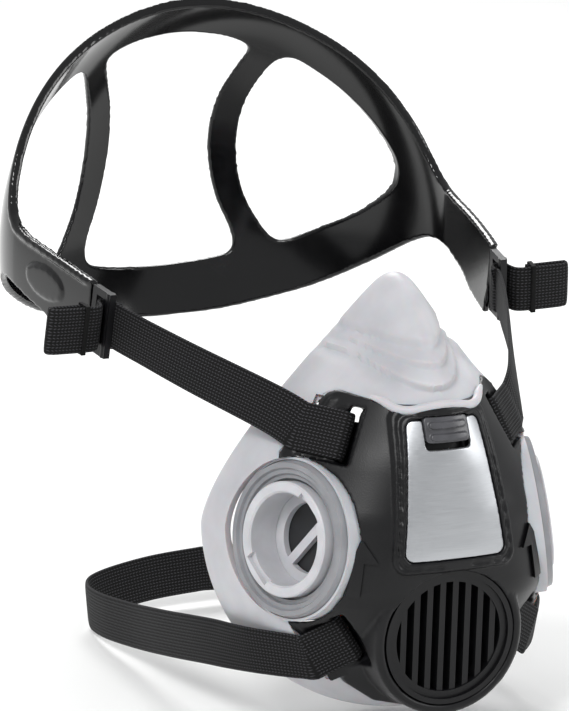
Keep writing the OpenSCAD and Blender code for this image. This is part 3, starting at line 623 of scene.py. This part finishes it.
def makeHousing():
    piece = combine(houseField("housingShell", 0, housing["wall"]),
        prismSolid("o", houseOutline, -90, -30), "INTERSECT")
    floor = combine(houseField("floor", 2.5, 4.6), prismSolid("o", roundedOutline([(-9.1, 12.93), (9.1,
        12.93), (9.1, 29.7), (-9.1, 29.7)], 1.5), -90, -30), "INTERSECT")
    combine(piece, floor, "UNION")
    rim = combine(houseField("rim", -housing["frameRise"], 1),
        prismSolid("o", roundedOutline(plateOutline(3.4), 4), -90, -40), "INTERSECT")
    combine(rim, prismSolid("o", roundedOutline(plateOutline(0.25), 2.6), -90, -40), "DIFFERENCE")
    groove = combine(houseField("groove", -3, -0.45), prismSolid("o", roundedOutline(plateOutline(2.4),
        3.4), -90, -40), "INTERSECT")
    combine(groove, prismSolid("o", roundedOutline(plateOutline(1.3), 2.9), -90, -40), "DIFFERENCE")
    combine(rim, groove, "DIFFERENCE")
    combine(piece, rim, "UNION")
    arrow = [(26, -5), (30.5, -11.5), (28.6, -11.2), (30.6, -20.5), (27.6, -21), (26.2, -11), (22.6, -11.2)]
    for side, sign in ((np.eye(4), 1), (flipX, -1)):
        combine(piece, lugPlate(side, upperLug, 2.6), "UNION")
        combine(piece, lugPlate(side, lowerLug, 0), "UNION")
        mark = combine(houseField("arrow", -housing["arrowRise"], 0.6),
            prismSolid("o", [(x * sign, z) for x, z in arrow], -90, -40), "INTERSECT")
        mark.name = "flowArrow"
        giveFinish(mark, satinNylon)
        smoothShade(mark, 30)
        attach(mark, "mask")
    combine(piece, cylinderSolid("bell", grille, housing["bell"], -17.1, -0.4, tip=housing["bellTip"]), "UNION")
    ridge = combine(cylinderSolid("ridge", grille, 21.9, -1, 0.3),
        cylinderSolid("o", grille, 20.6, -2, 1), "DIFFERENCE")
    combine(piece, ridge, "UNION")
    recess = combine(houseField("recess", -4, 0.85), prismSolid("o", roundedOutline(plateOutline(0.25),
        2.6), -90, -40), "INTERSECT")
    combine(piece, recess, "DIFFERENCE")
    well = combine(houseField("well", -4, 3.4), prismSolid("o", [(-7, 14.83), (7, 14.83), (7, 28.5),
        (-7, 28.5)], -90, -40), "INTERSECT")
    combine(piece, well, "DIFFERENCE")
    for side in (np.eye(4), flipX):
        combine(piece, cylinderSolid("cut", side @ connector, housing["pocket"], -22, -2.8), "DIFFERENCE")
        combine(piece, cylinderSolid("cut", side @ connector, housing["pocketMouth"], -3, 19), "DIFFERENCE")
        for lug in (upperLug, lowerLug):
            m = side @ lug
            combine(piece, boxSolid("cut", m, (-5.6, -9, -7.6), (-0.6, 9, 9.0)), "DIFFERENCE")
            combine(piece, boxSolid("cut", m, (-5.3, 1.1, -8.3), (24.7, 13.1, 8.0)), "DIFFERENCE")
            combine(piece, boxSolid("cut", m, (-5.1, -7.1, -7.85), (24.9, -1.1, 7.85)), "DIFFERENCE")
            combine(piece, boxSolid("wall", m, (-6.6, -3.4, -8.6), (-3.1, -1.2, 8.4)),
                "UNION")  # front wall of the recess
            combine(piece, boxSolid("floor", m, (-6.4, -4.4, -8.4), (3.0, -3.3, 5.4)),
                "UNION")  # floor under the strap's turn
    combine(piece, cylinderSolid("cut", grille, housing["grilleSeat"], -9, 11), "DIFFERENCE")
    combine(piece, cylinderSolid("cut", grille, housing["throat"], -30, -6), "DIFFERENCE")
    print("housing before its rounds", len(piece.data.polygons))
    remeshSoft(piece, housing["voxelMm"], 2, snapTo((0, 0.85, 3.0, -housing["frameRise"]), 0.22))
    piece.name = "housingBody"
    giveFinish(piece, satinNylon)
    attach(piece, "mask"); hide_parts("front_housing")
    print("housing", len(piece.data.polygons))


makeHousing()

plate = {"thick": 1.4, "proud": 0.6, "voxelMm": 0.28}


def makePlate():
    piece = combine(houseField("plate", -plate["proud"], plate["thick"] - plate["proud"], 0.6),
                    prismSolid("o", roundedOutline(plateOutline(0), 2.4), -90, -40), "INTERSECT")
    slot = roundedOutline([(-7, 19.3), (7, 19.3), (7, 40), (-7, 40)], 1.2)
    combine(piece, prismSolid("o", slot, -90, -40), "DIFFERENCE")
    remeshSoft(piece, plate["voxelMm"], 2, snapTo((-plate["proud"], plate["thick"] - plate["proud"]), 0.2))
    piece.name = "coverPlate"
    giveFinish(piece, silverFinish)
    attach(piece, "mask"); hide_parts("cover_plate")
    print("plate", len(piece.data.polygons))


makePlate()

latch = {"z": 24.6, "voxelMm": 0.2}


def makeLatch():
    z = latch["z"]
    pad = roundedOutline([(-6.65, z - 3.2), (6.65, z - 3.2), (6.65, z + 3.6), (-6.65, z + 3.6)], 1)
    piece = combine(houseField("latch", -1.2, 2.6, 0.6), prismSolid("o", pad, -90, -40), "INTERSECT")
    for at in (z - 1.6, z + 1.6):
        bar = combine(houseField("rib", -2.1, 0, 0.6), prismSolid("o", roundedOutline([(-5.6, at - 0.8),
            (5.6, at - 0.8), (5.6, at + 0.8), (-5.6, at + 0.8)], 0.7), -90, -40), "INTERSECT")
        combine(piece, bar, "UNION")
    remeshSoft(piece, latch["voxelMm"], 1, lambda points: points)
    piece.name = "latchPad"
    giveFinish(piece, darkAcetal)
    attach(piece, "latch"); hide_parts("latch_button")
    print("latch", len(piece.data.polygons))


makeLatch()


# Head cradle
cradle = {"wide": 71.7, "deep": 64.5, "high": 81.0, "y": 82.0, "z": 50.4, "thick": 2.0, "armFront": 38.4,
    "voxelMm": 0.52}


def armHalfWidth(y):
    return cradle["wide"] - 8.2 * np.maximum(0, (cradle["y"] - y) / 52) ** 1.35


def cradleGrid(offset):
    levels = np.radians(np.linspace(-30, 70, 90))
    ahead = np.linspace(cradle["armFront"] - 6, cradle["y"], 36, endpoint=False)
    around = np.radians(np.linspace(0, 180, 150))
    rows = []
    for w in levels:
        z = cradle["z"] + (cradle["high"] + offset) * math.sin(w)
        row = [((armHalfWidth(y) + offset) * math.cos(w), y, z) for y in ahead]
        row += [((cradle["wide"] + offset) * math.cos(a) * math.cos(w),
            cradle["y"] + (cradle["deep"] + offset) * math.sin(a) * math.cos(w), z) for a in around]
        row += [(-(armHalfWidth(y) + offset) * math.cos(w), y, z) for y in ahead[::-1]]
        rows.append(row)
    return np.array(rows)


def cradleOffset(points):  # how far each point is outside the middle skin, by halving
    low, high = np.full(len(points), -4.0), np.full(len(points), 5.0)
    x, y, z = points.T
    behind = y >= cradle["y"]
    half = np.where(behind, cradle["wide"], armHalfWidth(y))
    for _ in range(24):
        o = (low + high) / 2
        reach = (x / (half + o)) ** 2 + ((z - cradle["z"]) / (cradle["high"] + o)) ** 2
        reach = reach + np.where(behind, ((y - cradle["y"]) / (cradle["deep"] + o)) ** 2, 0)
        low, high = np.where(reach > 1, o, low), np.where(reach > 1, high, o)
    return (low + high) / 2, half, behind


def snapCradle(points):
    o, half, behind = cradleOffset(points)
    goal, best = o.copy(), np.full(len(o), 9.0)
    for target in (-cradle["thick"] / 2, cradle["thick"] / 2):
        closer = np.abs(o - target) < best
        best, goal = np.where(closer, np.abs(o - target), best), np.where(closer, target, goal)
    new = o + (goal - o) * np.clip((0.34 - best) / 0.26, 0, 1)
    points[:, 0] *= (half + new) / (half + o)
    points[:, 1] = np.where(behind, cradle["y"] + (points[:,
        1] - cradle["y"]) * (cradle["deep"] + new) / (cradle["deep"] + o), points[:, 1])
    points[:, 2] = cradle["z"] + (points[:,
        2] - cradle["z"]) * (cradle["high"] + new) / (cradle["high"] + o)
    return points


def makeCradle():
    front = smoothOpen([(36.5, 54), (50, 57), (63, 59.5), (76, 62), (84, 65.6), (89, 72), (94, 82.5),
        (99, 93), (105, 104), (111, 114), (114, 121), (114.6, 128)], 6)
    low = smoothOpen([(145, 16.6), (139.5, 18.6), (134.4, 22), (127.9, 26), (119.2, 32), (107.4, 39.6),
        (99, 44), (91, 46.2), (83, 45.4),
                      (74, 42.6), (65, 39.8), (56, 36), (40.3, 32.6)], 6)
    side = front + [np.array([200, 128.0]), np.array([200, 16.6])] + low
    lip = front + [p + np.array([2.6, -1.5]) for p in front[::-1]]
    piece = combine(gridSolid("cradleBands", cradleGrid(cradle["thick"] / 2), cradleGrid(-cradle["thick"] / 2), False),
        prismSolid("o", side, -100, 100, "x"), "INTERSECT")
    combine(piece, combine(gridSolid("lip", cradleGrid(1.9), cradleGrid(0.0), False),
        prismSolid("o", lip, -100, 100, "x"), "INTERSECT"), "UNION")
    for sign in (1, -1):
        pad = [(62 + 10.5 * math.cos(a) - 1.2 * math.sin(a),
            49.2 + 4.6 * math.sin(a) + 1.6 * math.cos(a)) for a in np.linspace(0, 2 * math.pi, 48, endpoint=False)]
        ends = (20, 100) if sign > 0 else (-100, -20)
        combine(piece, combine(gridSolid("pad", cradleGrid(1.7), cradleGrid(0.0), False),
            prismSolid("o", pad, ends[0], ends[1], "x"), "INTERSECT"), "UNION")
    half = [(0, 110.6), (10, 109.6), (19, 107.2), (23.6, 103.6), (21.6, 97), (18.4, 88), (16.9, 77),
        (17.6, 66), (20.4, 54), (24.6, 43.5), (24.6, 37.2), (18, 34.9), (8, 33.8), (0, 33.5)]
    combine(piece, prismSolid("o", smoothRing(half + [(-x, z) for x, z in half[-2:0:-1]], 5), 84, 200),
        "DIFFERENCE")
    window = [(36.6, 100.6), (43.4, 96.4), (50, 91), (56.4, 84), (61.6, 76), (65, 67.5), (64.6, 59),
        (58.5, 50.6), (50, 45), (42, 41), (37, 41),
              (32.4, 47.5), (28.2, 57), (25.9, 70), (26.3, 83.5), (29.2, 93.5), (32.4, 99.6)]
    for sign in (1, -1):
        combine(piece, prismSolid("o", smoothRing([(x * sign, z) for x, z in window], 5), 92, 200),
            "DIFFERENCE")
    remeshSoft(piece, cradle["voxelMm"], 5, snapCradle)
    piece.name = "headCradle"
    giveFinish(piece, glossPolypropylene)
    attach(piece, "harness"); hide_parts("head_cradle")
    print("cradle", len(piece.data.polygons))


makeCradle()


# Elastic straps
layer = strap["lugThick"] / 2 + strap["gap"] + strap["thick"] / 2


def lugLoop(m, far):
    turn = [pointIn(m, layer * math.sin(a) * 0.95,
        layer * math.cos(a)) for a in (math.pi + math.pi * k / 8 for k in range(1, 8))]
    return [pointIn(m, 6.4, -layer), pointIn(m, 4, -layer), pointIn(m, 0.4, -layer)] + turn + \
        [pointIn(m, 0.4, layer), pointIn(m, 4, layer), pointIn(m, far, layer + 0.2)]


def webbing(name, path, widths, mixes=3):  # flat knitted band with rounded edges, UV in millimetres
    path, widths = np.array(smoothOpen(path, mixes)), np.array(smoothOpen(widths, mixes))
    n, sides = len(path), 24
    along = path[np.minimum(np.arange(n) + 1, n - 1)] - path[np.maximum(np.arange(n) - 1, 0)]
    along /= np.linalg.norm(along, axis=1, keepdims=True)
    wide = widths - along * np.sum(widths * along, axis=1, keepdims=True)
    wide /= np.linalg.norm(wide, axis=1, keepdims=True)
    out = np.cross(wide, along)
    angles = 2 * math.pi * (np.arange(sides) + 0.5) / sides
    u = np.sign(np.cos(angles)) * np.abs(np.cos(angles)) ** 0.35 * strap["width"] / 2
    v = np.sign(np.sin(angles)) * np.abs(np.sin(angles)) ** 0.8 * strap["thick"] / 2
    points = (path[:, None] + wide[:, None] * u[None, :, None] + out[:, None] * v[None, :,
        None]).reshape(-1, 3)
    faces = [tuple(range(sides - 1, -1, -1)), tuple(range((n - 1) * sides, n * sides))]
    faces += [(i * sides + k, i * sides + (k + 1) % sides, (i + 1) * sides + (k + 1) % sides,
        (i + 1) * sides + k)
              for i in range(n - 1) for k in range(sides)]
    piece = meshFrom(name, points, faces, webFinish)
    length = np.concatenate([[0], np.cumsum(np.linalg.norm(np.diff(path, axis=0), axis=1))])
    layerUv = piece.data.uv_layers.new(name="weave")
    spots = np.array([(u[i % sides] + 7.0, length[i // sides]) for i in range(len(points))])
    for loop in piece.data.loops:
        layerUv.data[loop.index].uv = spots[loop.vertex_index]
    pick(piece)
    bpy.ops.object.mode_set(mode="EDIT")
    bpy.ops.mesh.select_all(action="SELECT")
    bpy.ops.mesh.normals_make_consistent(inside=False)
    bpy.ops.object.mode_set(mode="OBJECT")
    smoothShade(piece, 50)
    return piece


def makeStraps():
    b, tail = strap["backBar"], strap["tail"]
    at = lambda u, v: pointIn(buckleFrame, u, v)
    path = lugLoop(upperLug, 9.6) + smoothOpen([pointIn(upperLug, 12.5, layer - 0.2), (39, -28, 27.5),
        (51.5, 0, 34.8), at(-5, -b + 0.1), at(-0.5, -b)], 5)
    path += [at(1.6, -b)] + [at(1.8 + b * math.sin(a),
        b * math.cos(a)) for a in (math.pi - math.pi * k / 8 for k in range(1, 8))]
    path += [at(1, b + 0.3), at(-1.0, 3.6), at(-1.9, 5.2), at(-2.1, 8), at(-1.9, 8 + tail * 0.6),
        at(-1.5, 4 + tail)]
    path += [at(-0.5 - math.cos(a), 4 + tail + 1.1 * math.sin(a)) for a in (math.pi * k / 6 for k in range(1, 6))]
    path += [at(0.5, 4 + tail), at(0.3, 7.4)]
    mix = [min(1, max(0, (i - 12) / 14)) for i in range(len(path))]
    widths = [upperLug[:3, 2] * (1 - k) + buckleFrame[:3, 2] * k for k in mix]
    left = webbing("upperStrapLeft", path, widths)
    right = mirrored(left, "upperStrapRight")
    for piece, node, sign in ((left, "upper_strap_left", 1), (right, "upper_strap_right", -1)):
        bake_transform(piece)
        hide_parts(node)
    half = lugLoop(lowerLug, 9.6) + smoothOpen([pointIn(lowerLug, 11.5, layer + 0.1), (45, -30, -42.5),
        (48.8, -8, -45), (49.2, 20, -49.8), (47.8, 50, -55),
                                                (47, 78, -58.6), (43.5, 96, -59.8), (35, 103.5, -59), (18,
                                                    107, -57.3), (0, 108, -56.5)], 4)
    mix = [min(1, max(0, (i - 11) / 9)) for i in range(len(half))]
    wide = [lowerLug[:3, 2] * (1 - k) + np.array([0.05, 0.1, 1.0]) * k for k in mix]
    flip = np.array([-1.0, 1.0, 1.0])
    neck = webbing("neckStrap", half + [np.asarray(p) * flip for p in half[-2::-1]],
        wide + [w * flip for w in wide[-2::-1]], 4)
    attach(neck, "mask"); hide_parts("neck_strap")
    hem = boxSolid("strapHemLeft", buckleFrame, (-3.35, 8.2, -7.5), (1.55, 9.8, 7.5))
    combine(hem, boxSolid("o", buckleFrame, (-2.85, 8, -7.15), (1.05, 11, 7.15)), "DIFFERENCE")
    hem.data.uv_layers.new(name="weave")
    remeshSoft(hem, 0.24, 1, lambda points: points)
    giveFinish(hem, webFinish)
    other = mirrored(hem, "strapHemRight")
    for piece, node in ((hem, "strap_hem_left"), (other, "strap_hem_right")):
        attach(piece, "harness"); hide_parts(node)
    print("straps made")


makeStraps()


# CAD nodes that stay, with their finishes
slotOf = {part["node"]: part["material_slot"] for part in frame["record"]["subparts"]}
for name, node in frame["nodes"].items():
    node.data.materials.clear()
    node.data.materials.append(finishes[slotOf[name]])
print("finishes on", len(slotOf), "nodes")


# Floor and light
def makeStudio():
    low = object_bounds()[0][2]
    pick(frame["nodes"]["buckle_left"])
    bpy.ops.object.select_all(action="DESELECT")
    bpy.ops.mesh.primitive_plane_add(size=12, location=(0, 0, low - 0.001))
    floor = bpy.context.active_object
    floor.name = "studioFloor"
    paint = moulded("painted board, matt", {"cloudMm": 400, "grainMm": 2, "dark": "F0F0EF",
        "light": "F4F4F3", "rough": (0.7, 0.8), "bump": 0.02})
    floor.data.materials.append(paint)
    world = bpy.data.worlds.new("studio")
    bpy.context.scene.world = world
    world.use_nodes = True
    world.node_tree.nodes["Background"].inputs[0].default_value = (0.93, 0.94, 0.95, 1)
    world.node_tree.nodes["Background"].inputs[1].default_value = 0.62
    for name, place, size, power in (("key", (-0.9, -0.8, 1.1), 0.5, 14),
        ("fill", (1.1, -0.7, 0.6), 0.6, 6), ("rim", (0.3, 1.1, 1.0), 0.6, 12)):
        lamp = bpy.data.lights.new(name, "AREA")
        lamp.size, lamp.energy = size, power
        light = bpy.data.objects.new(name, lamp)
        bpy.context.scene.collection.objects.link(light)
        light.location = place
        light.rotation_euler = (Vector((0, 0.02, 0.01)) - Vector(place)).to_track_quat("-Z", "Y").to_euler()
    bpy.context.scene.view_settings.view_transform = "Standard"


makeStudio()
